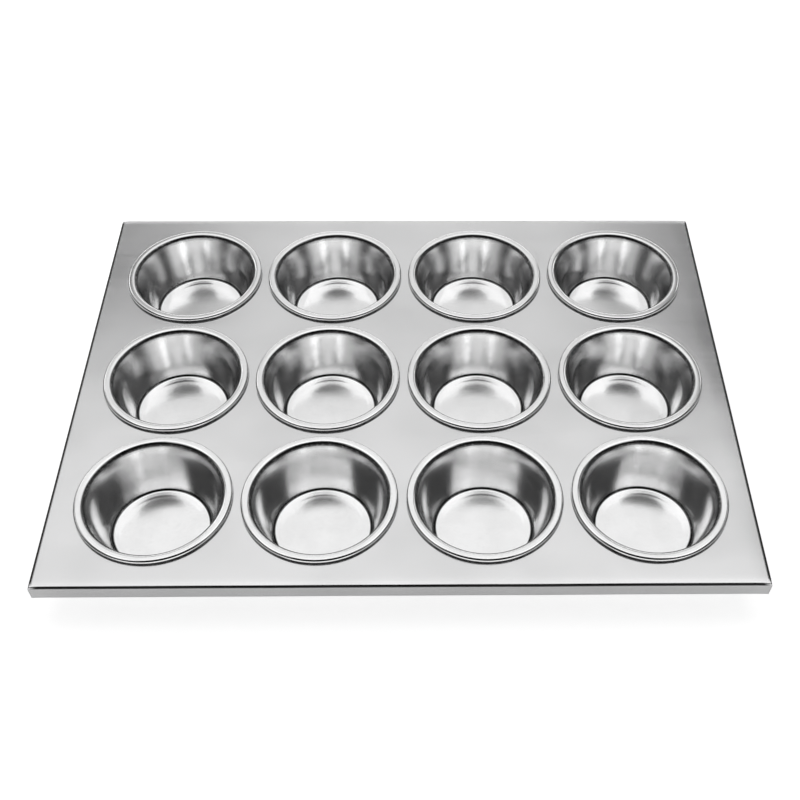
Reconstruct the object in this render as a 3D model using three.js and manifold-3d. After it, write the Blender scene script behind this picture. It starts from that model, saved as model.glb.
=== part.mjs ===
// A commercial aluminium muffin pan. One folded frame sheet carries a grid of drawn cups, and each cup is
// locked into its hole by a rolled seam: the hole's edge turns up along the cup's shoulder and flares, and the
// cup's rim is rolled over the flare until its lip lies under it. Nothing on the pan moves.
// Millimetres, +Z up. The origin lies under the middle of the pan, on the surface that the cups stand on.

import * as THREE from "three";
import { mergeVertices } from "three/addons/utils/BufferGeometryUtils.js";
import Module from "manifold-3d";

const wasm = await Module();
wasm.setup();

// Driving dimensions: sheet and seam
const FRAME_SHEET = 0.6; // gauge of the frame's sheet
const CUP_SHEET = 0.5; // gauge of the cups' sheet
const SEAM_GAP = 0.25; // room between the layers of the rolled seam
const SEAM_LOCK = 1.9; // how far the cup's lip reaches in under the collar's flare

// Driving dimensions: cups
const COLUMNS = 4; // along X
const ROW_NAMES = ["front", "middle", "back"]; // along Y
const CUP_MOUTH_RADIUS = 35.1; // inside, where wall and rim would meet if the shoulder were sharp
const CUP_FOOT_RADIUS = 25.8; // inside, where wall and floor would meet if the corner were sharp
const CUP_DEPTH = 25.4; // from the frame's top face down to the inside of the floor
const SHOULDER_RADIUS = 3; // upper face, between wall and rim
const CORNER_RADIUS = 2.2; // inside, between wall and floor
const CUP_LAND = 4; // flat sheet left between neighbouring rims

// Driving dimensions: frame
const END_MARGIN = 12.7; // flat sheet from the outer rims to the left and right edges
const SIDE_MARGIN = 12.6; // flat sheet from the outer rims to the front and back edges
const BEND_RADIUS = 1.2; // outside, where the sheet turns down into the apron
const APRON_FLAT = 3; // apron from the bend down to the level of the hem's edge
const HEM_HEIGHT = 5; // the apron's lower edge, folded back up on the inside
const HEM_GAP = 0.25; // room between the apron and its hem
const APRON_TUCK = 0.2; // how far the apron's foot leans in under its bend
const CORNER_SLIT = 0.3; // open seam where two aprons meet at a corner

// Facets
const ROUND_SIDES = 24; // sides of every round piece
const CORNER_STEPS = 2; // facets of the corner between wall and floor
const SHOULDER_STEPS = 3; // facets of the shoulder between wall and rim
const EDGE_STEPS = 2; // facets of the rim's outer edge
const BEND_STEPS = 3; // facets of the bend along the frame's edge
const CUT_PAST = 1; // how far a cutting tool runs past what it cuts

const point = (radius, level) => new THREE.Vector2(radius, level);

// Levels above the standing surface, from the floor up to the top of the rim
const FLOOR_TOP = CUP_SHEET;
const FRAME_TOP = FLOOR_TOP + CUP_DEPTH;
const LIP_BOTTOM = FRAME_TOP + SEAM_GAP;
const LIP_TOP = LIP_BOTTOM + CUP_SHEET;
const FLARE_BOTTOM = LIP_TOP + SEAM_GAP;
const COLLAR_TOP = FLARE_BOTTOM + FRAME_SHEET;
const ROLL_UNDERSIDE = COLLAR_TOP + SEAM_GAP;
const RIM_TOP = ROLL_UNDERSIDE + CUP_SHEET;

// The wall's lean, and the middles of the arcs at its foot and at its mouth
const TAPER = Math.atan2(CUP_MOUTH_RADIUS - CUP_FOOT_RADIUS, RIM_TOP - FLOOR_TOP);
const SETBACK = Math.tan((Math.PI / 2 - TAPER) / 2);
const CORNER_MIDDLE = point(CUP_FOOT_RADIUS - CORNER_RADIUS * SETBACK, FLOOR_TOP + CORNER_RADIUS);
const SHOULDER_MIDDLE = point(CUP_MOUTH_RADIUS + SHOULDER_RADIUS * SETBACK, RIM_TOP - SHOULDER_RADIUS);

// Offsets of the seam's layers from the cup's inside face
const COLLAR_INSIDE = CUP_SHEET + SEAM_GAP;
const COLLAR_OUTSIDE = COLLAR_INSIDE + FRAME_SHEET;

// Radii of the seam's layers, from the lip out to the rim
const LIP_RADIUS = SHOULDER_MIDDLE.x;
const FLARE_RADIUS = LIP_RADIUS + SEAM_LOCK;
const ROLL_INSIDE = FLARE_RADIUS + SEAM_GAP;
const RIM_RADIUS = ROLL_INSIDE + CUP_SHEET;
const EDGE_RADIUS = CUP_SHEET + SEAM_GAP; // the rim turns about the flare's edge

// Overall plan
const ROWS = ROW_NAMES.length;
const CUP_PITCH = 2 * RIM_RADIUS + CUP_LAND;
const PAN_LENGTH = (COLUMNS - 1) * CUP_PITCH + 2 * (RIM_RADIUS + END_MARGIN);
const PAN_WIDTH = (ROWS - 1) * CUP_PITCH + 2 * (RIM_RADIUS + SIDE_MARGIN);
const APRON_DROP = BEND_RADIUS + APRON_FLAT + HEM_HEIGHT;

const FRAME_FINISH = new THREE.MeshStandardMaterial({ color: 0xd3d4d5, roughness: 0.32, metalness: 1 });
const CUP_FINISH = new THREE.MeshStandardMaterial({ color: 0xdadbdc, roughness: 0.16, metalness: 1 });

// Points on an arc from one angle to another, both ends included.
function arc(middle, radius, from, to, steps) {
  return Array.from({ length: steps + 1 }, (_, i) => {
    const angle = from + ((to - from) * i) / steps;
    return point(middle.x + radius * Math.cos(angle), middle.y + radius * Math.sin(angle));
  });
}

// A solid of revolution about +Z from its half section of (radius, level) points.
function turned(section) {
  return new THREE.LatheGeometry(section, ROUND_SIDES).rotateX(Math.PI / 2);
}

function solidOf(geometry) {
  const bare = geometry.clone().deleteAttribute("normal").deleteAttribute("uv");
  const merged = mergeVertices(bare);
  return new wasm.Manifold(
    new wasm.Mesh({
      numProp: 3,
      vertProperties: merged.getAttribute("position").array,
      triVerts: new Uint32Array(merged.index.array),
    }),
  );
}

function geometryOf(solid) {
  const mesh = solid.getMesh();
  return new THREE.BufferGeometry()
    .setAttribute("position", new THREE.BufferAttribute(mesh.vertProperties, mesh.numProp))
    .setIndex(new THREE.BufferAttribute(mesh.triVerts, 1));
}

// The cup's shoulder as a line offset outwards from its inside face, from the wall up to the rim.
function shoulderLine(offset) {
  return arc(SHOULDER_MIDDLE, SHOULDER_RADIUS - offset, Math.PI - TAPER, Math.PI / 2, SHOULDER_STEPS);
}

// A point on the line of the cup's wall, offset outwards from its inside face.
function wallPoint(level, offset) {
  const lean = (level - FLOOR_TOP) * Math.tan(TAPER);
  return point(CUP_FOOT_RADIUS + lean + offset / Math.cos(TAPER), level);
}

// The cup's bowl as a line offset outwards from its inside face: floor, corner, wall and shoulder.
// With no offset it is the inside face, and with the sheet's gauge the outside face.
function bowlLine(offset) {
  const corner = arc(CORNER_MIDDLE, CORNER_RADIUS + offset, -Math.PI / 2, -TAPER, CORNER_STEPS);
  return [point(0, FLOOR_TOP - offset), ...corner, ...shoulderLine(offset)];
}

// The rim's outer edge and its lip, from the top of the roll round to the underside.
function rimLine() {
  return [
    ...arc(point(FLARE_RADIUS, COLLAR_TOP), EDGE_RADIUS, Math.PI / 2, 0, EDGE_STEPS),
    point(RIM_RADIUS, LIP_BOTTOM),
    point(LIP_RADIUS, LIP_BOTTOM),
    point(LIP_RADIUS, LIP_TOP),
    point(ROLL_INSIDE, LIP_TOP),
    point(ROLL_INSIDE, ROLL_UNDERSIDE),
  ];
}

function cupGeometry() {
  return turned([...bowlLine(0), ...rimLine(), ...bowlLine(CUP_SHEET).reverse()].reverse());
}

// A closed skin through rectangles inset from the pan's outline, capped on the first and the last one.
function rectangleLoft(sections) {
  const corners = sections.flatMap(({ x: inset, y: level }) => {
    const halfLength = PAN_LENGTH / 2 - inset;
    const halfWidth = PAN_WIDTH / 2 - inset;
    return [
      [-halfLength, -halfWidth, level],
      [halfLength, -halfWidth, level],
      [halfLength, halfWidth, level],
      [-halfLength, halfWidth, level],
    ];
  });
  const faces = [0, 1, 2, 0, 2, 3];
  for (let ring = 0; ring + 1 < sections.length; ring++) {
    for (let side = 0; side < 4; side++) {
      const a = 4 * ring + side;
      const b = 4 * ring + ((side + 1) % 4);
      faces.push(a, a + 4, b + 4, a, b + 4, b);
    }
  }
  const last = 4 * (sections.length - 1);
  faces.push(last, last + 2, last + 1, last, last + 3, last + 2);
  return new THREE.BufferGeometry()
    .setAttribute("position", new THREE.Float32BufferAttribute(corners.flat(), 3))
    .setIndex(faces);
}

// The folded sheet without its holes: top face, bend, apron, hem and underside, as insets and levels.
function foldedSheet() {
  const foot = FRAME_TOP - APRON_DROP;
  const bendMiddle = point(BEND_RADIUS, FRAME_TOP - BEND_RADIUS);
  const insideBend = Math.max(BEND_RADIUS - FRAME_SHEET, 0);
  const hemOutside = APRON_TUCK + 2 * FRAME_SHEET + HEM_GAP;
  const hemInside = APRON_TUCK + FRAME_SHEET + HEM_GAP;
  return rectangleLoft([
    ...arc(bendMiddle, BEND_RADIUS, Math.PI / 2, Math.PI, BEND_STEPS),
    point(APRON_TUCK, foot),
    point(hemOutside, foot),
    point(hemOutside, foot + HEM_HEIGHT),
    point(hemInside, foot + HEM_HEIGHT),
    point(hemInside, foot + FRAME_SHEET),
    point(APRON_TUCK + FRAME_SHEET, foot + FRAME_SHEET),
    ...arc(bendMiddle, insideBend, Math.PI, Math.PI / 2, 1),
  ]);
}

// A collar before its hole is cut: it rises out of the sheet along the cup's shoulder and flares at the top.
function collarBlank() {
  const face = shoulderLine(COLLAR_OUTSIDE);
  const root = Math.min(FRAME_TOP - FRAME_SHEET, face[0].y - FRAME_SHEET / 2);
  return turned([
    point(0, root),
    wallPoint(root, COLLAR_OUTSIDE),
    ...face,
    point(FLARE_RADIUS, FLARE_BOTTOM),
    point(FLARE_RADIUS, COLLAR_TOP),
    point(0, COLLAR_TOP),
  ]);
}

function holeCutter() {
  const low = FRAME_TOP - FRAME_SHEET - CUT_PAST;
  const high = COLLAR_TOP + CUT_PAST;
  return turned([
    point(0, low),
    wallPoint(low, COLLAR_INSIDE),
    ...shoulderLine(COLLAR_INSIDE),
    point(0, high),
  ]);
}

// Opens the seam at one corner, along the line that halves it, from below the bend down past the foot.
function slitCutter(signX, signY) {
  const high = FRAME_TOP - BEND_RADIUS;
  const low = FRAME_TOP - APRON_DROP - CUT_PAST;
  const reach = 2 * Math.SQRT2 * (APRON_TUCK + 2 * FRAME_SHEET + HEM_GAP + CUT_PAST);
  return new THREE.BoxGeometry(reach, CORNER_SLIT, high - low)
    .rotateZ((signX * signY * Math.PI) / 4)
    .translate((signX * PAN_LENGTH) / 2, (signY * PAN_WIDTH) / 2, (high + low) / 2);
}

// The middle of each cup, named by its row and its column.
function cupPlaces() {
  return ROW_NAMES.flatMap((rowName, row) =>
    Array.from({ length: COLUMNS }, (_, column) => ({
      name: `cup_${rowName}_${column + 1}`,
      x: (column - (COLUMNS - 1) / 2) * CUP_PITCH,
      y: (row - (ROWS - 1) / 2) * CUP_PITCH,
    })),
  );
}

function frameGeometry() {
  let frame = solidOf(foldedSheet());
  const collar = solidOf(collarBlank());
  const hole = solidOf(holeCutter());
  for (const { x, y } of cupPlaces()) {
    frame = frame.add(collar.translate([x, y, 0])).subtract(hole.translate([x, y, 0]));
  }
  for (const signX of [-1, 1]) {
    for (const signY of [-1, 1]) {
      frame = frame.subtract(solidOf(slitCutter(signX, signY)));
    }
  }
  return geometryOf(frame);
}

function named(name, geometry, material) {
  const mesh = new THREE.Mesh(geometry, material);
  mesh.name = name;
  return mesh;
}

const pan = new THREE.Group();
pan.add(named("frame_sheet", frameGeometry(), FRAME_FINISH));

const cups = new THREE.Group();
const cup = cupGeometry();
for (const { name, x, y } of cupPlaces()) {
  const mesh = named(name, cup, CUP_FINISH);
  mesh.position.set(x, y, 0);
  cups.add(mesh);
}
pan.add(cups);

export default pan;
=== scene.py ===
"""Dresses the muffin pan, a folded sheet with drawn cups, in bright aluminium and sets it in a studio."""
import math
import random

import bmesh
import bpy
from mathutils import Matrix, Vector, noise


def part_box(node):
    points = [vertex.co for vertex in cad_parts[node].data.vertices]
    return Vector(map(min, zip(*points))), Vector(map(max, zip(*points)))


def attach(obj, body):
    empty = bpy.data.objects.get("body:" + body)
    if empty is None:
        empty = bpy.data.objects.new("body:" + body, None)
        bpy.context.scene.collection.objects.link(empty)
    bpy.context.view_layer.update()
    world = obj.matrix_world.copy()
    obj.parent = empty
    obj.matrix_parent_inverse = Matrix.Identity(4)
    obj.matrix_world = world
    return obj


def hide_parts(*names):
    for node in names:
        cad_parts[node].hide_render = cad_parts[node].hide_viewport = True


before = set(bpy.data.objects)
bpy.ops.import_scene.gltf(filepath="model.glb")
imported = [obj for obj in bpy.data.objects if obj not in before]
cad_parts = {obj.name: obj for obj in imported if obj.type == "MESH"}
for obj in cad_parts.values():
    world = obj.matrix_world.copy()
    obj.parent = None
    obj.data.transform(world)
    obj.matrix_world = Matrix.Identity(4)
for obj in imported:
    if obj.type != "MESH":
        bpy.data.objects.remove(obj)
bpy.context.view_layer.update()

MM = 0.001

# Sheet and seam, as the part is built
FRAME_SHEET = 0.6 * MM
CUP_SHEET = 0.5 * MM
SEAM_GAP = 0.25 * MM
SEAM_LOCK = 1.9 * MM

# Cup, as the part is built
CUP_MOUTH_RADIUS = 35.1 * MM
CUP_FOOT_RADIUS = 25.8 * MM
CUP_DEPTH = 25.4 * MM
CORNER_RADIUS = 2.2 * MM
SHOULDER_RADIUS = 3 * MM

# Frame, as the part is built
BEND_RADIUS = 1.2 * MM
APRON_FLAT = 3 * MM
HEM_HEIGHT = 5 * MM
HEM_GAP = 0.25 * MM
APRON_TUCK = 0.2 * MM

# Levels above the floor that the pan stands on
FLOOR_TOP = CUP_SHEET
FRAME_TOP = FLOOR_TOP + CUP_DEPTH
LIP_BOTTOM = FRAME_TOP + SEAM_GAP
LIP_TOP = LIP_BOTTOM + CUP_SHEET
FLARE_BOTTOM = LIP_TOP + SEAM_GAP
COLLAR_TOP = FLARE_BOTTOM + FRAME_SHEET
ROLL_UNDERSIDE = COLLAR_TOP + SEAM_GAP
RIM_TOP = ROLL_UNDERSIDE + CUP_SHEET
APRON_DROP = BEND_RADIUS + APRON_FLAT + HEM_HEIGHT
APRON_FOOT = FRAME_TOP - APRON_DROP

# The wall's lean, and the middles of the arcs at its foot and at its mouth
TAPER = math.atan2(CUP_MOUTH_RADIUS - CUP_FOOT_RADIUS, RIM_TOP - FLOOR_TOP)
SETBACK = math.tan((math.pi / 2 - TAPER) / 2)
CORNER_MIDDLE = (CUP_FOOT_RADIUS - CORNER_RADIUS * SETBACK, FLOOR_TOP + CORNER_RADIUS)
SHOULDER_MIDDLE = (CUP_MOUTH_RADIUS + SHOULDER_RADIUS * SETBACK, RIM_TOP - SHOULDER_RADIUS)

# Reach of the seam's layers
LIP_RADIUS = SHOULDER_MIDDLE[0]
FLARE_RADIUS = LIP_RADIUS + SEAM_LOCK
RIM_RADIUS = FLARE_RADIUS + SEAM_GAP + CUP_SHEET

# Places, from the frame
CUP_NODES = sorted(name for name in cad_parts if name.startswith("cup_"))
COLUMNS = 4
ROWS = 3


def middle(node):
    low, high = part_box(node)
    return (low + high) / 2


CUP_CENTRES = {name: middle(name) for name in CUP_NODES}
CUP_PITCH = CUP_CENTRES["cup_front_2"].x - CUP_CENTRES["cup_front_1"].x
FRAME_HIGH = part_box("frame_sheet")[1]
HALF_LENGTH = FRAME_HIGH.x
HALF_WIDTH = FRAME_HIGH.y

# How far a cup's wall strays from the plain shape
WALL_BULGE = 0.25 * MM
BULGE_SPREAD = (0.85, 1.2)  # each cup's share of the bulge lies between these
WALL_WOBBLE = 0.1 * MM
WOBBLE_LOBES = range(2, 7)  # how many times round the wall each wobble goes
WALL_RIPPLE = 0.03 * MM
RIPPLE_LENGTH = 9 * MM
NOISE_REACH = 100  # each cup takes its ripples and its floor's waves from its own place in this much noise

# How far a cup's floor strays from the plain shape
FLOOR_CROWN = 0.1 * MM
FLOOR_WAVE = 0.04 * MM
FLOOR_WAVE_LENGTH = 18 * MM
PANEL_RADIUS = 22 * MM
PANEL_RAMP = 1.2 * MM
PANEL_RISE = 0.08 * MM

# How far the frame sheet strays from the plain shape
SHEET_WAVE = 0.16 * MM
SHEET_WAVE_LENGTH = 48 * MM
SHEET_WAVE_START = Vector((3.1, 7.7, 0.4))  # where in the noise the waves are taken from
HELD_BY_RIM = 7 * MM  # the waves grow to their full height over this distance from a rim
SIDE_ROLL = 9 * MM
SIDE_DROP = 0.2 * MM
FRONT_ROLL = 3 * MM
FRONT_DROP = 0.12 * MM

# Where the seams differ from the solids
SEAM_SLIT = 0.05 * MM  # each apron ends this far short of the corner's mitre
RIM_ROUND = 1.5 * MM  # rounding of the rim's outer edge
FLARE_TRIM = 0.8 * MM  # the collar's flare is shorter by this, to clear the rounder rim

# Where a cup's arcs get painted shade, in place of shadow and dark reflections: middle, radius, and the
# angles between which they darken
SHADED_ARCS = (
    (CORNER_MIDDLE, CORNER_RADIUS, -84, -28),
    (SHOULDER_MIDDLE, SHOULDER_RADIUS, 108, 170),
    ((RIM_RADIUS - RIM_ROUND, RIM_TOP - RIM_ROUND), RIM_ROUND, 34, 62),
)
ARC_SHADE_FADE = 0.3  # share of the arc over which the painted shade comes and goes
RIM_SHADE_TOP = RIM_TOP - 1.25 * MM  # the rim's outside is painted dark below this level, as shadow above the sheet
RIM_SHADE_FADE = 0.2 * MM

# Where the frame sheet gets painted shade: dark colour in its bends and under its hem stands in for dark
# reflections and shadow
HEM_SHADE_HEIGHT = 0.7 * MM  # the painted shadow under the hem ends this far above its foot
BEND_SHADE_LEAD = 0.8 * MM  # the painted shade starts this far before the bend at the left and right edges
BEND_SHADE_SLACK = 0.1 * BEND_SHADE_LEAD  # a point this close to the bend still gets the bend's painted shade
BEND_SHADE_START = 0.06  # share of the bend's depth over which its painted shade comes on at the front and back edges
BEND_SHADE_END = 0.2  # share of the bend's depth over which the painted shade fades out again
CORNER_UNSHADED = 1.4  # the bends get no painted shade to this many bend radii from the sheet's corners

# Mesh detail
CELL_STEPS = 32  # points along each side of the square of sheet round a cup
CELL_RINGS = (1, 0.75, 0.5, 0.3, 0.15, 0.06, 0)  # shares of the way from the hole's collar to that square
CUP_SIDES = 4 * CELL_STEPS
FLOOR_STEPS = 40
CORNER_STEPS = 10
WALL_STEPS = 20
SHOULDER_STEPS = 14
RIM_STEPS = 18
RIM_FOOT_STEPS = 4
LIP_STEPS = 8
ROLL_STEPS = 6
COLLAR_STEPS = 8
BEND_STEPS = 8
APRON_STEPS = 6
HEM_STEPS = 12
SMOOTH_ANGLE = math.radians(38)
PLACE_GRID = 0.001 * MM  # corners of faces that round to the same place on this grid are shared
SAME_PLACE = 0.01 * MM  # points nearer than this are merged, and a point this near to an arc lies on it


def arc(centre_radius, centre_level, radius, start, end, steps):
    """Points on an arc in (radius, level), from one angle to another in degrees, both ends included."""
    angles = [math.radians(start + (end - start) * i / steps) for i in range(steps + 1)]
    return [(centre_radius + radius * math.cos(a), centre_level + radius * math.sin(a)) for a in angles]


def between(first, last, steps):
    """Points on a straight line after its first point, last point included."""
    return [
        tuple(a + (b - a) * i / steps for a, b in zip(first, last))
        for i in range(1, steps + 1)
    ]


def ease(share):
    """Rises smoothly from 0 to 1."""
    share = min(max(share, 0), 1)
    return share * share * (3 - 2 * share)


def object_from(bm, name):
    """An object in the scene from a bmesh, with its round faces shaded smooth."""
    mesh = bpy.data.meshes.new(name)
    bm.to_mesh(mesh)
    bm.free()
    mesh.shade_smooth()
    mesh.set_sharp_from_angle(angle=SMOOTH_ANGLE)
    piece = bpy.data.objects.new(name, mesh)
    bpy.context.collection.objects.link(piece)
    return piece


def mark_painted_shade(bm, share):
    """Keeps each point's share of painted shade for the finish."""
    layer = bm.verts.layers.float.new("painted_shade")
    for vert in bm.verts:
        vert[layer] = share(vert.co)


# Cups

def bowl_line(offset):
    """The bowl's floor, corner, wall and rounded mouth, offset outwards from the inside face."""
    lean = math.degrees(TAPER)
    centre = (0, FLOOR_TOP - offset)
    corner = arc(*CORNER_MIDDLE, CORNER_RADIUS + offset, -90, -lean, CORNER_STEPS)
    shoulder = arc(*SHOULDER_MIDDLE, SHOULDER_RADIUS - offset, 180 - lean, 90, SHOULDER_STEPS)
    floor = between(centre, corner[0], FLOOR_STEPS)
    wall = between(corner[-1], shoulder[0], WALL_STEPS)
    return [centre, *floor, *corner[1:], *wall, *shoulder[1:]]


def rim_line():
    """The rim's outer edge and its lip, from the top of the roll round to the underside."""
    half = CUP_SHEET / 2
    edge = RIM_RADIUS - RIM_ROUND
    under = RIM_ROUND - CUP_SHEET
    return [
        *arc(edge, RIM_TOP - RIM_ROUND, RIM_ROUND, 90, 0, RIM_STEPS),
        *arc(RIM_RADIUS - half, LIP_BOTTOM + half, half, 0, -90, RIM_FOOT_STEPS),
        *arc(LIP_RADIUS + half, LIP_BOTTOM + half, half, -90, -270, LIP_STEPS),
        (RIM_RADIUS - CUP_SHEET, LIP_TOP),
        *arc(edge, RIM_TOP - RIM_ROUND, under, 0, 90, ROLL_STEPS),
    ]


def draw_wobble(node):
    """One cup's own bulge, its lobes as (count, size, turn), and place in the noise."""
    draw = random.Random(node)
    lobes = []
    for count in WOBBLE_LOBES:
        size = draw.gauss(0, WALL_WOBBLE / count)
        start = draw.uniform(0, 2 * math.pi)
        lobes.append((count, size, start))
    bulge = WALL_BULGE * draw.uniform(*BULGE_SPREAD)
    patch = draw.uniform(0, NOISE_REACH)
    return bulge, lobes, patch


def draw_out(bm, node):
    """Bulges the wall between its round ends, and crowns the floor over its faint raised panel."""
    bulge, lobes, patch = draw_wobble(node)
    foot, wall_low = CORNER_MIDDLE
    wall_high = SHOULDER_MIDDLE[1]
    for vert in bm.verts:
        x, y, level = vert.co
        radius = math.hypot(x, y)
        turn = math.atan2(y, x)
        if level < wall_low and radius < foot:
            edge = 1 - radius / foot
            crown = FLOOR_CROWN * (1 - math.cos(math.pi * edge)) / 2
            spot = Vector((x, y, 0)) / FLOOR_WAVE_LENGTH + Vector((0, 0, patch))
            wave = FLOOR_WAVE * noise.noise(spot) * ease(edge)
            panel = PANEL_RISE * ease((PANEL_RADIUS - radius) / PANEL_RAMP)
            vert.co.z += crown + wave + panel
        share = (level - wall_low) / (wall_high - wall_low)
        if 0 < share < 1:
            out = bulge + sum(size * math.cos(count * turn + start) for count, size, start in lobes)
            out += WALL_RIPPLE * noise.noise(vert.co / RIPPLE_LENGTH + Vector((patch, 0, 0)))
            reach = 1 + out * math.sin(math.pi * share) ** 2 / radius
            vert.co.x *= reach
            vert.co.y *= reach


def lathe(section):
    """A closed solid of revolution about +Z from (radius, level) points that start and end on the axis."""
    bm = bmesh.new()
    turns = [2 * math.pi * i / CUP_SIDES for i in range(CUP_SIDES)]
    rings = []
    for radius, level in section:
        if radius == 0:
            rings.append([bm.verts.new((0, 0, level))])
        else:
            rings.append([bm.verts.new((radius * math.cos(t), radius * math.sin(t), level)) for t in turns])
    for lower, upper in zip(rings, rings[1:]):
        for i in range(CUP_SIDES):
            j = (i + 1) % CUP_SIDES
            around = ((lower, i), (lower, j), (upper, j), (upper, i))
            bm.faces.new(dict.fromkeys(ring[k % len(ring)] for ring, k in around))
    bmesh.ops.recalc_face_normals(bm, faces=bm.faces)
    return bm


def cup_shade_share(place):
    """Share of painted shade: 1 in the bowl's corner, inside its mouth and in two bands round the rim's
    edge, 0 elsewhere.
    """
    radius = math.hypot(place[0], place[1])
    if radius > RIM_RADIUS - CUP_SHEET / 2 and place[2] < RIM_SHADE_TOP:
        return ease((RIM_SHADE_TOP - place[2]) / RIM_SHADE_FADE)
    for centre, size, start, end in SHADED_ARCS:
        across = radius - centre[0]
        up = place[2] - centre[1]
        share = (math.degrees(math.atan2(up, across)) - start) / (end - start)
        if 0 < share < 1 and abs(math.hypot(across, up) - size) < SAME_PLACE:
            return ease(share / ARC_SHADE_FADE) * ease((1 - share) / ARC_SHADE_FADE)
    return 0


def make_cup(node, finish):
    section = [*bowl_line(0), *rim_line(), *reversed(bowl_line(CUP_SHEET))]
    bm = lathe(section)
    mark_painted_shade(bm, cup_shade_share)
    draw_out(bm, node)
    cup = object_from(bm, node + "_spun")
    centre = CUP_CENTRES[node]
    cup.location = (centre.x, centre.y, 0)
    cup.data.materials.append(finish)
    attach(cup, "root")
    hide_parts(node)


# Frame sheet

def collar_line():
    """The hole's edge from the flat sheet inwards, up along the cup's shoulder and out over the lip."""
    radius = SHOULDER_RADIUS - CUP_SHEET - SEAM_GAP - FRAME_SHEET
    root = 180 - math.degrees(math.asin((FRAME_TOP - SHOULDER_MIDDLE[1]) / radius))
    flare = (FLARE_RADIUS - FLARE_TRIM, FLARE_BOTTOM)
    return [*arc(*SHOULDER_MIDDLE, radius, root, 90, COLLAR_STEPS), flare]


def apron_line():
    """The sheet's edge from the flat outwards, as (inset, level): bend, apron, and hem folded up inside."""
    fold = FRAME_SHEET + HEM_GAP / 2
    bend = arc(BEND_RADIUS, FRAME_TOP - BEND_RADIUS, BEND_RADIUS, 90, 180, BEND_STEPS)
    apron = between(bend[-1], (APRON_TUCK, APRON_FOOT + fold), APRON_STEPS)
    hem = arc(APRON_TUCK + fold, APRON_FOOT + fold, fold, 180, 360, HEM_STEPS)
    return [*bend, *apron, *hem[1:], (hem[-1][0], APRON_FOOT + HEM_HEIGHT)]


class SheetMesh:
    """Collects the faces of one side of the frame sheet, sharing the corners that lie in one place."""

    def __init__(self):
        self.bm = bmesh.new()
        self.known = {}

    def corner(self, place):
        key = tuple(round(c / PLACE_GRID) for c in place)
        if key not in self.known:
            self.known[key] = self.bm.verts.new(place)
        return self.known[key]

    def strip(self, first, second, closed=False):
        """Quads between two rows of places."""
        count = len(first)
        for i in range(count if closed else count - 1):
            j = (i + 1) % count
            corners = [self.corner(p) for p in (first[i], first[j], second[j], second[i])]
            if len(set(corners)) > 2:
                self.bm.faces.new(dict.fromkeys(corners))


def square_outline(half, steps):
    """Places round a square from its lower left corner, anticlockwise, evenly spaced."""
    side = [-half + 2 * half * i / steps for i in range(steps)]
    return (
        [(s, -half) for s in side]
        + [(half, s) for s in side]
        + [(-s, half) for s in side]
        + [(-half, -s) for s in side]
    )


def sheet_cell(sheet, centre):
    """The square of flat sheet round one cup, with the collar of its hole."""
    outline = square_outline(CUP_PITCH / 2, CELL_STEPS)
    section = collar_line()
    rings = []
    for share in CELL_RINGS:
        ring = []
        for x, y in outline:
            circle = Vector((x, y)).normalized() * section[0][0]
            flat = circle.lerp(Vector((x, y)), share)
            ring.append((centre.x + flat.x, centre.y + flat.y, FRAME_TOP))
        rings.append(ring)
    for radius, level in section[1:]:
        ring = []
        for x, y in outline:
            edge = Vector((x, y)).normalized() * radius
            ring.append((centre.x + edge.x, centre.y + edge.y, level))
        rings.append(ring)
    for outer, inner in zip(rings, rings[1:]):
        sheet.strip(inner, outer, closed=True)


def even_places(low, high, step):
    """Even places from low to high, about a step apart."""
    count = max(1, round((high - low) / step))
    return [low + (high - low) * i / count for i in range(count + 1)]


def sheet_margin(sheet):
    """The flat border round the cells, out to where the sheet bends. Gives the places along its edges."""
    step = CUP_PITCH / CELL_STEPS
    inner_x = COLUMNS * CUP_PITCH / 2
    inner_y = ROWS * CUP_PITCH / 2
    edge_x = HALF_LENGTH - BEND_RADIUS
    edge_y = HALF_WIDTH - BEND_RADIUS
    along_x = even_places(-inner_x, inner_x, step)
    along_y = even_places(-inner_y, inner_y, step)
    border_x = [*even_places(inner_x, edge_x - BEND_SHADE_LEAD, step), edge_x]
    border_y = even_places(inner_y, edge_y, step)
    full_x = [-x for x in reversed(border_x[1:])] + along_x + border_x[1:]
    full_y = [-y for y in reversed(border_y[1:])] + along_y + border_y[1:]
    for pair in zip(border_y, border_y[1:]):
        for sign in (-1, 1):
            sheet.strip(*([(x, sign * y, FRAME_TOP) for x in full_x] for y in pair))
    for pair in zip(border_x, border_x[1:]):
        for sign in (-1, 1):
            sheet.strip(*([(sign * x, y, FRAME_TOP) for y in along_y] for x in pair))
    return full_x, full_y


def sheet_apron(sheet, along, half_along, half_across, place):
    """One side's bend, apron and hem. place turns (along, across, level) into a place on that side."""
    rows = []
    for index, (inset, level) in enumerate(apron_line()):
        open_seam = SEAM_SLIT if index > BEND_STEPS else 0
        reach = (half_along - inset - open_seam) / (half_along - BEND_RADIUS)
        rows.append([place(a * reach, half_across - inset, level) for a in along])
    for upper, lower in zip(rows, rows[1:]):
        sheet.strip(upper, lower)


def sink(x, y):
    """How far the sheet lies below its plain level: it rolls down at its edges and waves between rims."""
    x = min(max(x, BEND_RADIUS - HALF_LENGTH), HALF_LENGTH - BEND_RADIUS)
    y = min(max(y, BEND_RADIUS - HALF_WIDTH), HALF_WIDTH - BEND_RADIUS)
    to_side = HALF_LENGTH - BEND_RADIUS - abs(x)
    to_front = HALF_WIDTH - BEND_RADIUS - abs(y)
    to_rim = min(math.hypot(x - c.x, y - c.y) for c in CUP_CENTRES.values()) - RIM_RADIUS
    free = ease(to_rim / HELD_BY_RIM)
    wave = noise.noise(Vector((x, y, 0)) / SHEET_WAVE_LENGTH + SHEET_WAVE_START)
    side = max(0, 1 - to_side / SIDE_ROLL) ** 2
    front = max(0, 1 - to_front / FRONT_ROLL) ** 2
    return free * SHEET_WAVE * wave + SIDE_DROP * side + FRONT_DROP * front


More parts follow.
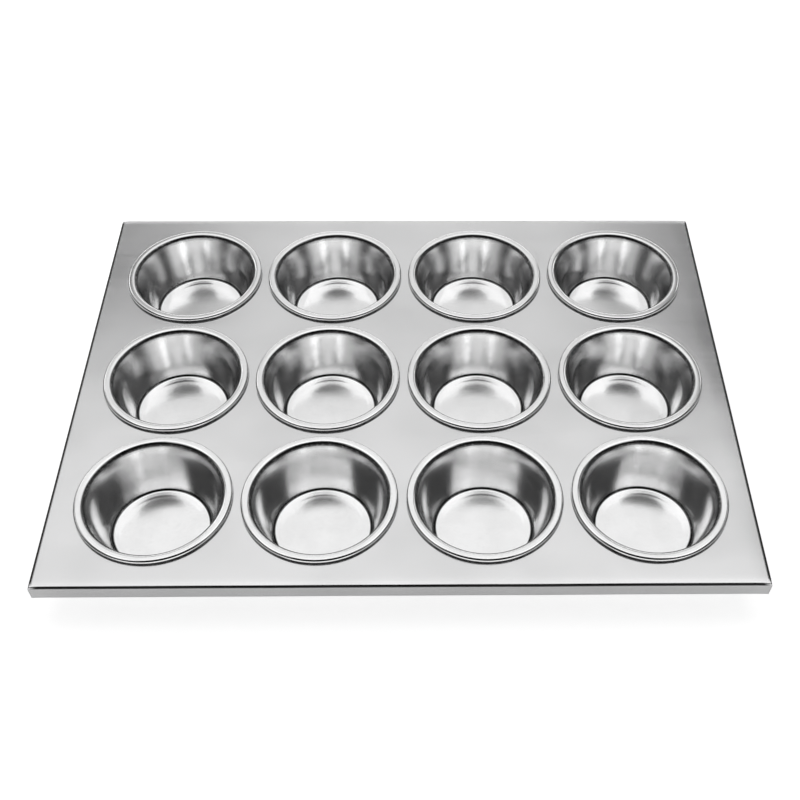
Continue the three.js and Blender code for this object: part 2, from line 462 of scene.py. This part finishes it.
def bend_shade_share(place):
    """Share of painted shade and dark reflection: 1 in the bends at the sheet's edges and under the hem, 0
    on the flat, the aprons and the corners.
    """
    hem_top = APRON_FOOT + HEM_SHADE_HEIGHT
    if place[2] < hem_top:
        return ease((hem_top - place[2]) / HEM_SHADE_HEIGHT)
    depth = (FRAME_TOP - place[2]) / BEND_RADIUS
    side = HALF_LENGTH - abs(place[0])
    front = HALF_WIDTH - abs(place[1])
    if depth > 1 or min(side, front) > BEND_RADIUS + BEND_SHADE_SLACK:
        return 0
    start = 1 if side < front else ease(depth / BEND_SHADE_START)
    from_corner = ease(math.hypot(side, front) / BEND_RADIUS - CORNER_UNSHADED)
    return start * ease((1 - depth) / BEND_SHADE_END) * from_corner


def make_frame_sheet(finish):
    sheet = SheetMesh()
    for centre in CUP_CENTRES.values():
        sheet_cell(sheet, centre)
    full_x, full_y = sheet_margin(sheet)
    for sign in (-1, 1):
        sheet_apron(sheet, full_x, HALF_LENGTH, HALF_WIDTH, lambda a, c, level: (a, sign * c, level))
        sheet_apron(sheet, full_y, HALF_WIDTH, HALF_LENGTH, lambda a, c, level: (sign * c, a, level))
    bmesh.ops.remove_doubles(sheet.bm, verts=sheet.bm.verts, dist=SAME_PLACE)
    bmesh.ops.recalc_face_normals(sheet.bm, faces=sheet.bm.faces)

    def from_middle(face):
        return (face.calc_center_median() - Vector((0, 0, FRAME_TOP))).length

    if min(sheet.bm.faces, key=from_middle).normal.z < 0:
        bmesh.ops.reverse_faces(sheet.bm, faces=sheet.bm.faces)
    mark_painted_shade(sheet.bm, bend_shade_share)
    for vert in sheet.bm.verts:
        vert.co.z -= sink(vert.co.x, vert.co.y)
    piece = object_from(sheet.bm, "frame_sheet_folded")
    thickness = piece.modifiers.new("sheet", "SOLIDIFY")
    thickness.thickness = FRAME_SHEET
    thickness.offset = -1
    thickness.use_even_offset = True
    piece.data.materials.append(finish)
    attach(piece, "root")
    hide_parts("frame_sheet")


# Materials

class Nodes:
    """Adds nodes to a node tree, with inputs that are values or other nodes' outputs."""

    def __init__(self, tree):
        self.tree = tree

    def put(self, socket, value):
        if isinstance(value, bpy.types.NodeSocket):
            self.tree.links.new(value, socket)
        else:
            socket.default_value = value

    def add(self, kind, inputs=(), **settings):
        """A new node's outputs."""
        node = self.tree.nodes.new("ShaderNode" + kind)
        for key, value in settings.items():
            setattr(node, key, value)
        for key, value in dict(inputs).items():
            self.put(node.inputs[key], value)
        return node.outputs

    def math(self, operation, first, second):
        return self.add("Math", {0: first, 1: second}, operation=operation)[0]

    def spread(self, value, low, high, start=0.0, end=1.0, **settings):
        """A value's range from low to high, spread over another range and held at its ends."""
        limits = {"Value": value, "From Min": low, "From Max": high, "To Min": start, "To Max": end}
        return self.add("MapRange", limits, **settings)["Result"]

    def noise(self, place, grains, detail):
        """Noise with a number of grains to each unit of length along each axis."""
        scaled = self.add("VectorMath", {0: place, 1: grains}, operation="MULTIPLY")["Vector"]
        return self.add("TexNoise", {"Vector": scaled, "Scale": 1.0, "Detail": detail})["Fac"]

    def shade(self, light, dark, share):
        """A colour between two, by a share that varies over the surface."""
        return self.add("MixRGB", {"Fac": share, "Color1": light, "Color2": dark})["Color"]


class Finish(Nodes):
    """A metal finish that is built up node by node."""

    def __init__(self, name):
        self.material = bpy.data.materials.new(name)
        self.material.use_nodes = True
        super().__init__(self.material.node_tree)

    def dress(self, **inputs):
        """The material, with its shader's inputs set."""
        shader = self.tree.nodes["Principled BSDF"]
        for key, value in inputs.items():
            self.put(shader.inputs[key.replace("_", " ")], value)
        return self.material


def grey(level, blue=0.0):
    return (level, level, level + blue, 1)


# Both finishes
NOISE_RANGE = (0.3, 0.7)  # most of a noise lies between these
SMUDGE_RANGE = (0.4, 0.75)  # the noise between which a smudge comes on
BUMP_DEPTH = 0.02 * MM

# Rolled sheet. Grains, streaks and smudges are counted per metre
SHEET_GRAIN = (12, 350, 350)
SHEET_STREAKS = (9, 420, 420)
SHEET_SMUDGES = (22, 30, 30)
SHEET_BRIGHT = grey(0.84, 0.004)
SHEET_SMUDGED = grey(0.77, 0.004)
# painted shade: the near-black colour that the bends and hem take in place of dark reflections and shadow
SHEET_PAINTED_SHADE = grey(0.03)
SHEET_ROUGH = (0.195, 0.22)
SHEET_SMUDGE_ROUGH = 0.045
SHEET_METALLIC = 0.9  # the rest is a thin haze
SHEET_BUMP = 0.02

# Drawn cups. Rings, smudges and specks are counted per metre
CUP_RINGS = 1600.0
CUP_RING_RISE = 1.3  # a step up counts as this many steps outwards
CUP_RING_BREAKS = (1, 1.2, 1.2)  # how fast the rings change across themselves and round the cup
CUP_RING_BUMP = 0.1  # a ring's height as a share of a speck's
CUP_SMUDGES = (60, 60, 60)
CUP_SPECKS = (700, 700, 700)
SPECK_RANGE = (0.5, 0.8)
SPECK_SHARE = 0.3
CUP_BRIGHT = grey(0.95, 0.002)
CUP_SMUDGED = grey(0.89, 0.002)
CUP_SPECKED = grey(0.8)
# painted shade: the near-black colour that the cups' creases and rim bands take in place of shadow and dark
# reflections
CUP_PAINTED_SHADE = grey(0.05)
CUP_ROUGH = (0.145, 0.17)
CUP_SMUDGE_ROUGH = 0.03
CUP_METALLIC = 1
CUP_BUMP = 0.15


def frame_finish():
    """Satin rolled sheet: fine grain along its length, soft smudges, and bends and hem painted dark in
    place of dark reflections and shadow.
    """
    finish = Finish("rolled_aluminium")
    place = finish.add("TexCoord")["Object"]
    grain = finish.noise(place, SHEET_GRAIN, detail=1.0)
    streak = finish.noise(place, SHEET_STREAKS, detail=2.0)
    smudge = finish.spread(finish.noise(place, SHEET_SMUDGES, detail=1.5), *SMUDGE_RANGE)
    painted_shade = finish.add("Attribute", attribute_name="painted_shade")["Fac"]
    rough = finish.spread(streak, *NOISE_RANGE, *SHEET_ROUGH)
    rough = finish.math("ADD", rough, finish.math("MULTIPLY", smudge, SHEET_SMUDGE_ROUGH))
    metal = finish.shade(SHEET_BRIGHT, SHEET_SMUDGED, smudge)
    # painted shade: the bends and hem are darkened in the colour itself
    metal = finish.shade(metal, SHEET_PAINTED_SHADE, painted_shade)
    bump = finish.add("Bump", {"Height": grain, "Strength": SHEET_BUMP, "Distance": BUMP_DEPTH})["Normal"]
    return finish.dress(Base_Color=metal, Roughness=rough, Normal=bump, Metallic=SHEET_METALLIC)


def cup_rings(finish, place):
    """Noise drawn out into rings round the cup's axis."""
    axes = finish.add("SeparateXYZ", {"Vector": place})
    flat = finish.add("CombineXYZ", {"X": axes["X"], "Y": axes["Y"], "Z": 0.0})["Vector"]
    radius = finish.add("VectorMath", {0: flat}, operation="LENGTH")["Value"]
    round_about = finish.add("VectorMath", {0: flat}, operation="NORMALIZE")["Vector"]
    turned = finish.add("SeparateXYZ", {"Vector": round_about})
    level = finish.math("ADD", finish.math("MULTIPLY", axes["Z"], CUP_RING_RISE), radius)
    count = finish.math("MULTIPLY", level, CUP_RINGS)
    ring_place = finish.add("CombineXYZ", {"X": count, "Y": turned["X"], "Z": turned["Y"]})["Vector"]
    return finish.noise(ring_place, CUP_RING_BREAKS, detail=3.0)


def cup_finish():
    """Bright drawn metal: fine rings left by the punch, faint smudges and specks, and painted shade in its
    creases and round its rim.
    """
    finish = Finish("spun_aluminium")
    place = finish.add("TexCoord")["Object"]
    rings = cup_rings(finish, place)
    own = finish.add("ObjectInfo")["Random"]
    shift = finish.add("CombineXYZ", {"X": own, "Y": own, "Z": own})["Vector"]
    apart = finish.add("VectorMath", {0: place, 1: shift}, operation="ADD")["Vector"]
    smudge = finish.spread(finish.noise(apart, CUP_SMUDGES, detail=2.0), *SMUDGE_RANGE)
    specks = finish.noise(apart, CUP_SPECKS, detail=2.0)
    painted_shade = finish.add("Attribute", attribute_name="painted_shade")["Fac"]
    rough = finish.spread(rings, *NOISE_RANGE, *CUP_ROUGH)
    rough = finish.math("ADD", rough, finish.math("MULTIPLY", smudge, CUP_SMUDGE_ROUGH))
    metal = finish.shade(CUP_BRIGHT, CUP_SMUDGED, smudge)
    # painted shade: the creases and rim bands are darkened in the colour itself
    metal = finish.shade(metal, CUP_PAINTED_SHADE, painted_shade)
    metal = finish.shade(metal, CUP_SPECKED, finish.spread(specks, *SPECK_RANGE, 0.0, SPECK_SHARE))
    marks = finish.math("ADD", finish.math("MULTIPLY", rings, CUP_RING_BUMP), specks)
    bump = finish.add("Bump", {"Height": marks, "Strength": CUP_BUMP, "Distance": BUMP_DEPTH})["Normal"]
    return finish.dress(Base_Color=metal, Roughness=rough, Normal=bump, Metallic=CUP_METALLIC)


# Studio, in metres where no other unit is named

CAMERA_FOCAL = 1173.6  # pixels, in a frame 800 pixels wide
CAMERA_PITCH = math.radians(48.05)
CAMERA_YAW = math.radians(-1.153)
CAMERA_ROLL = math.radians(0.673)
CAMERA_PLACE = Vector((9.71, -445.08, 476.45)) * MM  # from the middle of the frame's top face
CAMERA_SHIFT = -37  # pixels
CAMERA_CLIP = (0.01, 50)
FRAME_PIXELS = 800
SENSOR = 36  # millimetres

# Paper sweep: the floor reaches forward, and turns up behind the pan
FLOOR_REACH = 6
SWEEP_PLACE = 1.8
SWEEP_RADIUS = 0.3
SWEEP_TOP = 0.31
SWEEP_HALF = 6
SWEEP_STEPS = 16
PAPER_WHITE = grey(0.8)
PAPER_SEEN = 0.75  # glow that the camera sees
PAPER_MIRRORED = 0.22  # glow that metal sees

# Walls: strengths, and the directions where they are gone and where they are whole
STUDIO_DARK = 0.03
LOW_WALL = 0.75
LOW_WALL_FADE = (22, 9)  # degrees above the horizon
FRONT_WALL = 0.55
FRONT_WALL_FADE = (55, 16)  # degrees above the horizon
FRONT_WALL_SIDES = (-0.6, -0.82)  # how far a direction points along +Y

# Soft lights
BOX_HEIGHT = 0.95
SIDE_LEVEL = 0.87
SIDE_HEIGHT = 0.5
PAN_MIDDLE = (0, 0, 0.03)


def make_camera():
    data = bpy.data.cameras.new("camera")
    data.sensor_width = SENSOR
    data.lens = CAMERA_FOCAL / FRAME_PIXELS * SENSOR
    data.shift_x = CAMERA_SHIFT / FRAME_PIXELS
    data.clip_start, data.clip_end = CAMERA_CLIP
    camera = bpy.data.objects.new("camera", data)
    bpy.context.collection.objects.link(camera)
    turn = (
        Matrix.Rotation(CAMERA_YAW, 4, "Z")
        @ Matrix.Rotation(math.pi / 2 - CAMERA_PITCH, 4, "X")
        @ Matrix.Rotation(CAMERA_ROLL, 4, "Z")
    )
    camera.matrix_world = Matrix.Translation(CAMERA_PLACE + Vector((0, 0, FRAME_TOP))) @ turn
    bpy.context.scene.camera = camera


def paper():
    """White paper. It glows for the camera and for what metal mirrors, and from behind it is clear."""
    material = bpy.data.materials.new("white_paper")
    material.use_nodes = True
    nodes = Nodes(material.node_tree)
    nodes.tree.nodes.clear()
    sheet = nodes.add("BsdfDiffuse", {"Color": PAPER_WHITE})[0]
    path = nodes.add("LightPath")
    seen = nodes.math("MULTIPLY", path["Is Camera Ray"], PAPER_SEEN)
    mirrored = nodes.math("MULTIPLY", path["Is Glossy Ray"], PAPER_MIRRORED)
    glow = nodes.add("Emission", {"Strength": nodes.math("ADD", seen, mirrored)})[0]
    front = nodes.add("AddShader", {0: sheet, 1: glow})[0]
    behind = nodes.add("BsdfTransparent")[0]
    from_behind = nodes.add("NewGeometry")["Backfacing"]
    one_sided = nodes.add("MixShader", {"Fac": from_behind, 1: front, 2: behind})[0]
    nodes.add("OutputMaterial", {"Surface": one_sided})
    return material


def make_floor():
    """A sheet of paper that lies under the pan and turns up behind it."""
    bm = bmesh.new()
    line = [
        (-FLOOR_REACH, 0),
        *arc(SWEEP_PLACE - SWEEP_RADIUS, SWEEP_RADIUS, SWEEP_RADIUS, -90, 0, SWEEP_STEPS),
        (SWEEP_PLACE, SWEEP_TOP),
    ]
    rows = [[bm.verts.new((x, y, z)) for y, z in line] for x in (-SWEEP_HALF, SWEEP_HALF)]
    for i in range(len(line) - 1):
        bm.faces.new((rows[0][i], rows[1][i], rows[1][i + 1], rows[0][i + 1]))
    sweep = object_from(bm, "paper_sweep")
    sweep.data.materials.append(paper())


def soft_box(name, place, aim, width, height, radiance):
    """A rectangular soft light. Its power gives the radiance that its face shows."""
    data = bpy.data.lights.new(name, "AREA")
    data.shape = "RECTANGLE"
    data.size = width
    data.size_y = height
    data.energy = radiance * math.pi * width * height
    light = bpy.data.objects.new(name, data)
    bpy.context.collection.objects.link(light)
    light.location = place
    light.rotation_mode = "QUATERNION"
    light.rotation_quaternion = (Vector(aim) - Vector(place)).to_track_quat("-Z", "Y")


def overhead(name, left, right, near, far, radiance):
    """A soft light that hangs level over the pan, between two places along X and two along Y."""
    x = (left + right) / 2
    y = (near + far) / 2
    soft_box(name, (x, y, BOX_HEIGHT), (x, y, 0), right - left, far - near, radiance)


def upright(name, x, y, width, bottom, top, radiance):
    """A soft light that stands upright behind the pan and faces it."""
    level = (bottom + top) / 2
    soft_box(name, (x, y, level), (0, 0, level), width, top - bottom, radiance)


def beside(name, x, y, width, radiance):
    """A soft light beside the pan that is tipped towards it."""
    soft_box(name, (x, y, SIDE_LEVEL), PAN_MIDDLE, width, SIDE_HEIGHT, radiance)


def make_lights():
    overhead("near_softbox", -0.8, 0.8, 0.0, 0.4, 1.1)
    overhead("front_softbox", -0.4, 0.4, -0.06, 0.0, 1.1)
    overhead("left_wing", -0.8, -0.4, -0.36, 0.0, 0.95)
    overhead("right_wing", 0.4, 0.8, -0.36, 0.0, 1.15)
    overhead("middle_softbox", -0.8, 0.64, 0.4, 0.8, 0.88)
    overhead("back_softbox", -0.8, 0.44, 0.8, 1.0, 0.72)
    overhead("far_softbox", -0.33, 0.31, 1.0, 1.45, 0.73)
    overhead("far_left_softbox", -0.49, -0.33, 1.0, 1.45, 0.36)
    overhead("far_right_softbox", 0.31, 0.47, 1.0, 1.45, 0.36)
    overhead("left_dim_softbox", -0.8, -0.49, 1.0, 1.45, 0.04)
    overhead("right_dim_softbox", 0.47, 0.8, 0.85, 1.45, 0.04)
    overhead("left_softbox", -1.24, -0.84, 0.85, 1.45, 1.2)
    overhead("right_softbox", 0.8, 1.2, 0.9, 1.45, 0.95)
    upright("back_strip", 0, 1.5, 1.5, 0.6, 0.95, 0.95)
    upright("left_back_softbox", -1.02, 1.1, 0.92, 0.6, 0.95, 0.95)
    upright("right_back_softbox", 1.02, 1.1, 0.92, 0.6, 0.95, 0.9)
    upright("horizon_strip", 0, 1.5, 2.0, 0.02, 0.3, 1.3)
    beside("left_side_softbox", -1.45, 0.4, 0.78, 0.72)
    beside("right_side_softbox", 1.45, 0.4, 0.78, 0.5)
    beside("left_side_fill", -1.5, -0.17, 0.34, 0.28)
    beside("right_side_fill", 1.5, -0.17, 0.34, 0.18)


def make_world():
    """A dark studio whose walls are pale near the floor, and higher up in front of the pan."""
    world = bpy.data.worlds.new("studio")
    bpy.context.scene.world = world
    world.use_nodes = True
    nodes = Nodes(world.node_tree)
    direction = nodes.add("SeparateXYZ", {"Vector": nodes.add("TexCoord")["Generated"]})

    def fade(axis, start, end, strength):
        limits = (start, end, STUDIO_DARK / 2, strength)
        return nodes.spread(direction[axis], *limits, interpolation_type="SMOOTHSTEP")

    def wall(levels, strength):
        return fade("Z", *(math.sin(math.radians(level)) for level in levels), strength)

    front = fade("Y", *FRONT_WALL_SIDES, FRONT_WALL)
    walls = nodes.math("ADD", wall(LOW_WALL_FADE, LOW_WALL), wall(FRONT_WALL_FADE, front))
    background = world.node_tree.nodes["Background"]
    nodes.put(background.inputs["Strength"], walls)
    nodes.put(background.inputs["Color"], grey(1))


def main():
    sheet_metal = frame_finish()
    cup_metal = cup_finish()
    make_frame_sheet(sheet_metal)
    for node in CUP_NODES:
        make_cup(node, cup_metal)
    make_camera()
    make_floor()
    make_lights()
    make_world()
    bpy.context.scene.view_settings.view_transform = "Standard"


main()
